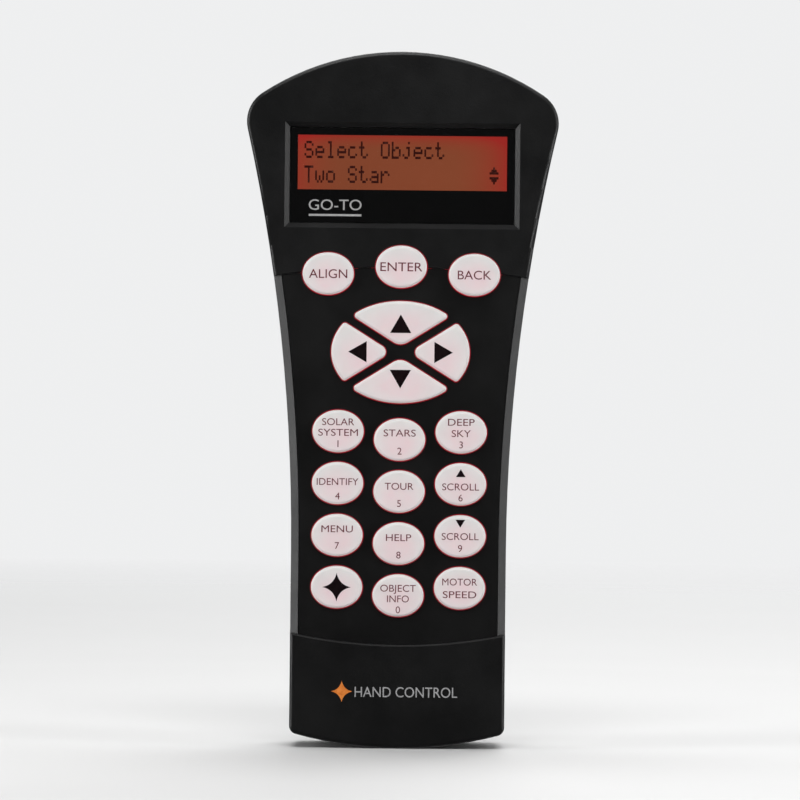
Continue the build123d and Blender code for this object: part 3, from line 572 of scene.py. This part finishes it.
# ------------------------------------------------------------------ key legends
# Each line is (text, capital height, width, height of its middle above the key's middle), in mm.
TOP_CAPS = 2.7
CAPS = 2.1
LEGENDS = {
    "key_align": [("ALIGN", TOP_CAPS, 11.2, 0.0)],
    "key_enter": [("ENTER", TOP_CAPS, 12.3, 0.0)],
    "key_back": [("BACK", TOP_CAPS, 9.8, 0.0)],
    "key_1": [("SOLAR", CAPS, 9.4, 2.8), ("SYSTEM", CAPS, 11.6, -0.3), ("1", CAPS, OWN_WIDTH, -3.6)],
    "key_2": [("STARS", CAPS, 9.4, 2.0), ("2", CAPS, OWN_WIDTH, -3.3)],
    "key_3": [("DEEP", CAPS, 7.8, 3.0), ("SKY", CAPS, 5.6, -0.3), ("3", CAPS, OWN_WIDTH, -3.6)],
    "key_4": [("IDENTIFY", CAPS, 12.2, 0.5), ("4", CAPS, OWN_WIDTH, -3.7)],
    "key_5": [("TOUR", CAPS, 8.4, 1.6), ("5", CAPS, OWN_WIDTH, -3.4)],
    "key_6": [("SCROLL", CAPS, 10.8, -0.7), ("6", CAPS, OWN_WIDTH, -3.9)],
    "key_7": [("MENU", CAPS, 9.2, 1.9), ("7", CAPS, OWN_WIDTH, -3.0)],
    "key_8": [("HELP", CAPS, 7.4, 1.8), ("8", CAPS, OWN_WIDTH, -3.3)],
    "key_9": [("SCROLL", CAPS, 10.8, 0.0), ("9", CAPS, OWN_WIDTH, -3.5)],
    "key_0": [("OBJECT", CAPS, 10.4, 2.2), ("INFO", CAPS, 6.4, -0.9), ("0", CAPS, OWN_WIDTH, -4.1)],
    "key_speed": [("MOTOR", CAPS, 10.2, 1.9), ("SPEED", CAPS, 9.8, -1.8)],
}
SCROLL_ARROW = (2.8 * MM, 2.3 * MM)
SCROLL_ARROWS = {                # quarter turns, and height above the key's middle in mm
    "key_6": (0, 3.3),
    "key_9": (2, 3.7),
}
ARROW = (6.2 * MM, 5.4 * MM)
ARROWS = {                       # quarter turns, and x and z in mm
    "key_up": (0, 0, 22.3),
    "key_left": (1, -12.6, 14.0),
    "key_down": (2, 0, 6.1),
    "key_right": (3, 12.6, 14.0),
}
KEY_STAR = (4.2 * MM, 1.0 * MM)


def on_key(prefix, key, mesh, ink, at):
    """A print on a key's cap that goes down with the key."""
    suffix = key.removeprefix("key_")
    piece = printed(prefix + suffix, mesh, ink, "push_" + suffix, at)


for name, lines in LEGENDS.items():
    on_key("legend_", name, text_mesh(lines), ETCHED, key_middle(name))
for name, (turns, z) in SCROLL_ARROWS.items():
    arrow = plate_mesh([triangle(*SCROLL_ARROW, turns, z * MM)])
    on_key("scroll_arrow_", name, arrow, ARROW_INK, key_middle(name))
for name, (turns, x, z) in ARROWS.items():
    at = Vector((x * MM, key_middle(name).y, z * MM))
    on_key("arrow_", name, plate_mesh([triangle(*ARROW, turns)]), ARROW_INK, at)
star = plate_mesh([sparkle(*KEY_STAR)])
printed("symbol_star", star, ARROW_INK, "push_symbol", key_middle("key_symbol"))

# ------------------------------------------------------------------ print behind the window
VIEW_HALF_X = 30.9 * MM
VIEW_LOW = 61.5 * MM
VIEW_HIGH = 77.5 * MM
PRINT_MARGIN = 0.15 * MM         # from the window's rim to the print
PRINT_T = 0.04 * MM              # black print on the back of the window
PRINT_Y = LENS_HI.y - 0.03 * MM
MARK_Y = PRINT_Y - (PRINT_T + INK) / 2 - 0.01 * MM
MARK_X = -19.6 * MM
MARK_Z = 56.2 * MM
MARK_LINE = ("GO-TO", 3.2, 15.5, 0.9)
RULE_Z = 54.0 * MM
RULE_HALF_X = 7.7 * MM
RULE_HALF_Z = 0.3 * MM

outer = inset_box((LENS_LO.x, LENS_LO.z, LENS_HI.x, LENS_HI.z), PRINT_MARGIN)
inner = (-VIEW_HALF_X, VIEW_LOW, VIEW_HALF_X, VIEW_HIGH)
surround = frame_mesh(outer, inner, PRINT_T)
new_piece("window_print", surround, WINDOW_PRINT, "case", Vector((0, PRINT_Y, 0)))
mark = text_mesh([MARK_LINE])
new_piece("window_mark", mark, MARK_INK, "case", Vector((MARK_X, MARK_Y, MARK_Z)))
rule = plate_mesh([rectangle(-RULE_HALF_X, -RULE_HALF_Z, RULE_HALF_X, RULE_HALF_Z)])
new_piece("window_rule", rule, MARK_INK, "case", Vector((MARK_X, MARK_Y, RULE_Z)))

# ------------------------------------------------------------------ lettering on the apron
APRON_LINE = ("HAND CONTROL", 3.1, 30.0, 0.0)
APRON_AT = Vector((2.6 * MM, CASE_FRONT, -85.4 * MM))
APRON_STAR = (3.1 * MM, 0.8 * MM)
APRON_STAR_LEFT = Vector((18.8 * MM, 0, 0))

apron_line = printed("apron_lettering", text_mesh([APRON_LINE]), GREY_INK, "case", APRON_AT)
apron_star = plate_mesh([sparkle(*APRON_STAR)])
printed("apron_star", apron_star, ORANGE_INK, "case", APRON_AT - APRON_STAR_LEFT)

# ------------------------------------------------------------------ lit display characters
GLYPHS = {
    "S": (".###.", "#...#", "#....", ".###.", "....#", "#...#", ".###."),
    "O": (".###.", "#...#", "#...#", "#...#", "#...#", "#...#", ".###."),
    "T": ("#####", "..#..", "..#..", "..#..", "..#..", "..#..", "..#.."),
    "a": (".....", ".....", ".###.", "....#", ".####", "#...#", ".####"),
    "b": ("#....", "#....", "#.##.", "##..#", "#...#", "#...#", "####."),
    "c": (".....", ".....", ".###.", "#....", "#....", "#...#", ".###."),
    "e": (".....", ".....", ".###.", "#...#", "#####", "#....", ".###."),
    "j": ("...#.", ".....", "..##.", "...#.", "...#.", "#..#.", ".##.."),
    "l": (".##..", "..#..", "..#..", "..#..", "..#..", "..#..", ".###."),
    "o": (".....", ".....", ".###.", "#...#", "#...#", "#...#", ".###."),
    "r": (".....", ".....", "#.##.", "##..#", "#....", "#....", "#...."),
    "t": (".#...", ".#...", "###..", ".#...", ".#...", ".#..#", "..##."),
    "w": (".....", ".....", "#...#", "#...#", "#.#.#", "#.#.#", ".#.#."),
    "^": ("..#..", ".###.", "#####", ".....", "#####", ".###.", "..#.."),
}
COLUMNS = 18
CELL_PITCH = 3.2 * MM
DOT_W = 0.53 * MM
DOT_H = 0.72 * MM
DOT_GAP = 0.01 * MM
CELL_T = 0.03 * MM               # thickness of a dot, and how far its middle is in front of the glass
LINE_TOPS = (75.8 * MM, 68.6 * MM)
SCREEN_LINES = ("Select Object", "Two Star         ^")


def dot_outlines(text, top):
    """Outlines of the dots of one line of text, as (x, z) points."""
    left = -COLUMNS * CELL_PITCH / 2
    for column, letter in enumerate(text):
        for row, dots in enumerate(GLYPHS.get(letter, ())):
            for place, dot in enumerate(dots):
                if dot == "#":
                    x = left + column * CELL_PITCH + place * DOT_W
                    z = top - row * DOT_H
                    yield rectangle(x, z - DOT_H + DOT_GAP, x + DOT_W - DOT_GAP, z)


for number, (text, top) in enumerate(zip(SCREEN_LINES, LINE_TOPS), 1):
    cells = plate_mesh(list(dot_outlines(text, top)), CELL_T)
    at = Vector((0, GLASS_LO.y - CELL_T, 0))
    new_piece(f"display_line_{number}", cells, CELL_INK, "case", at)

# ------------------------------------------------------------------ border on the rear label
BORDER_IN = 2.0 * MM
BORDER_LINE = 0.35 * MM

label_outer = inset_box((LABEL_LO.x, LABEL_LO.z, LABEL_HI.x, LABEL_HI.z), BORDER_IN)
border = frame_mesh(label_outer, inset_box(label_outer, BORDER_LINE), INK)
new_piece("label_border", border, ARROW_INK, "case", Vector((0, LABEL_HI.y, 0)))

# ------------------------------------------------------------------ floor
FLOOR_GAP = 0.05 * MM
FLOOR_HALF = 1.6
FLOOR_FADE = (0.35, 1.35)        # distances from the middle where the rim starts and ends to fade


def pale_floor():
    """A pale floor whose rim fades into the backdrop, and that is clear from below."""
    m = Nodes("pale_floor")
    m.feed(Base_Color=m.mix(m.noise(6, detail=3), (0.60, 0.60, 0.597), (0.63, 0.63, 0.627)))
    m.set(Roughness=0.75)
    away = m.add("ShaderNodeVectorMath", operation="LENGTH")
    m.link(m.place, away.inputs[0])
    fade = m.ramp(away.outputs["Value"], (*FLOOR_FADE, 0.0, 1.0))
    under = m.add("ShaderNodeNewGeometry").outputs["Backfacing"]
    clear = m.add("ShaderNodeBsdfTransparent")
    blend = m.add("ShaderNodeMixShader")
    m.link(m.math("MAXIMUM", fade, under), blend.inputs[0])
    m.link(m.shader.outputs[0], blend.inputs[1])
    m.link(clear.outputs[0], blend.inputs[2])
    m.link(blend.outputs[0], m.output.inputs["Surface"])
    return m.material


floor_mesh = bpy.data.meshes.new("floor")
corners = [(x, y, 0) for x, y in rectangle(-FLOOR_HALF, -FLOOR_HALF, FLOOR_HALF, FLOOR_HALF)]
floor_mesh.from_pydata(corners, [], [(0, 1, 2, 3)])
floor_mesh.materials.append(pale_floor())
floor = bpy.data.objects.new("floor", floor_mesh)
floor.location = (0, 0, cad_box[0].z - FLOOR_GAP)
bpy.context.scene.collection.objects.link(floor)
floor.visible_glossy = False     # keeps the floor's pale bounce out of the black plastic

# ------------------------------------------------------------------ light
SOFTBOXES = {                    # place and size in metres, and power in watts
    "side_left": ((-1.15, -0.38, 0.12), (0.30, 1.2), 10.5),
    "side_right": ((1.15, -0.38, 0.12), (0.30, 1.2), 8.5),
    "overhead": ((0.0, -1.0, 1.35), (1.1, 0.5), 17),
    "crown_rim": ((0.0, 0.30, 1.1), (1.2, 0.35), 7),
    "back_fill": ((0.5, 1.5, 0.9), (1.4, 1.0), 16),
}
ROOM_COLOUR = (0.97, 0.98, 1.0, 1.0)
ROOM_SPAN = (-0.8, 0.4)          # Y of a direction where the room is darkest and lightest
ROOM_STRENGTH = (0.012, 0.26)    # dark in front of the object, light behind it
BACKDROP_COLOUR = (0.86, 0.865, 0.87, 1.0)


def softbox(name, at, size, power):
    """An area light that faces the middle of the object."""
    light = bpy.data.lights.new(name, "AREA")
    light.shape = "RECTANGLE"
    light.size, light.size_y = size
    light.energy = power
    box = bpy.data.objects.new(name, light)
    box.location = at
    box.rotation_euler = (-Vector(at)).to_track_quat("-Z", "Y").to_euler()
    bpy.context.scene.collection.objects.link(box)


def studio_world():
    """A room that is lighter behind the object, seen by the camera as an even pale backdrop."""
    world = bpy.data.worlds.new("studio")
    world.use_nodes = True
    tree = world.node_tree
    way = tree.nodes.new("ShaderNodeTexCoord")
    parts = tree.nodes.new("ShaderNodeSeparateXYZ")
    tree.links.new(way.outputs["Generated"], parts.inputs[0])
    fall = tree.nodes.new("ShaderNodeMapRange")
    stops = (*ROOM_SPAN, *ROOM_STRENGTH)
    for key, value in zip(("From Min", "From Max", "To Min", "To Max"), stops):
        fall.inputs[key].default_value = value
    tree.links.new(parts.outputs["Y"], fall.inputs["Value"])
    room = tree.nodes["Background"]
    room.inputs["Color"].default_value = ROOM_COLOUR
    tree.links.new(fall.outputs["Result"], room.inputs["Strength"])
    backdrop = tree.nodes.new("ShaderNodeBackground")
    backdrop.inputs["Color"].default_value = BACKDROP_COLOUR
    seen = tree.nodes.new("ShaderNodeLightPath")
    choose = tree.nodes.new("ShaderNodeMixShader")
    tree.links.new(seen.outputs["Is Camera Ray"], choose.inputs[0])
    tree.links.new(room.outputs[0], choose.inputs[1])
    tree.links.new(backdrop.outputs[0], choose.inputs[2])
    tree.links.new(choose.outputs[0], tree.nodes["World Output"].inputs["Surface"])
    return world


for name, (at, size, power) in SOFTBOXES.items():
    softbox(name, at, size, power)
bpy.context.scene.world = studio_world()

# ------------------------------------------------------------------ camera
CAMERA_LENS = 180.0
CAMERA_CLIP = (0.01, 20)
VIEW_HEIGHT = 0.234              # height of the view at the face of the case
CAMERA_ROLL = math.radians(-0.6)

camera_data = bpy.data.cameras.new("camera")
camera_data.lens = CAMERA_LENS
camera_data.clip_start, camera_data.clip_end = CAMERA_CLIP
camera = bpy.data.objects.new("camera", camera_data)
distance = VIEW_HEIGHT * CAMERA_LENS / camera_data.sensor_width
middle_z = (cad_box[0].z + cad_box[1].z) / 2
camera.location = (0, CASE_FRONT - distance, middle_z)
camera.rotation_euler = (math.pi / 2, CAMERA_ROLL, 0)
bpy.context.scene.collection.objects.link(camera)
bpy.context.scene.camera = camera

bpy.context.scene.view_settings.view_transform = "Standard"
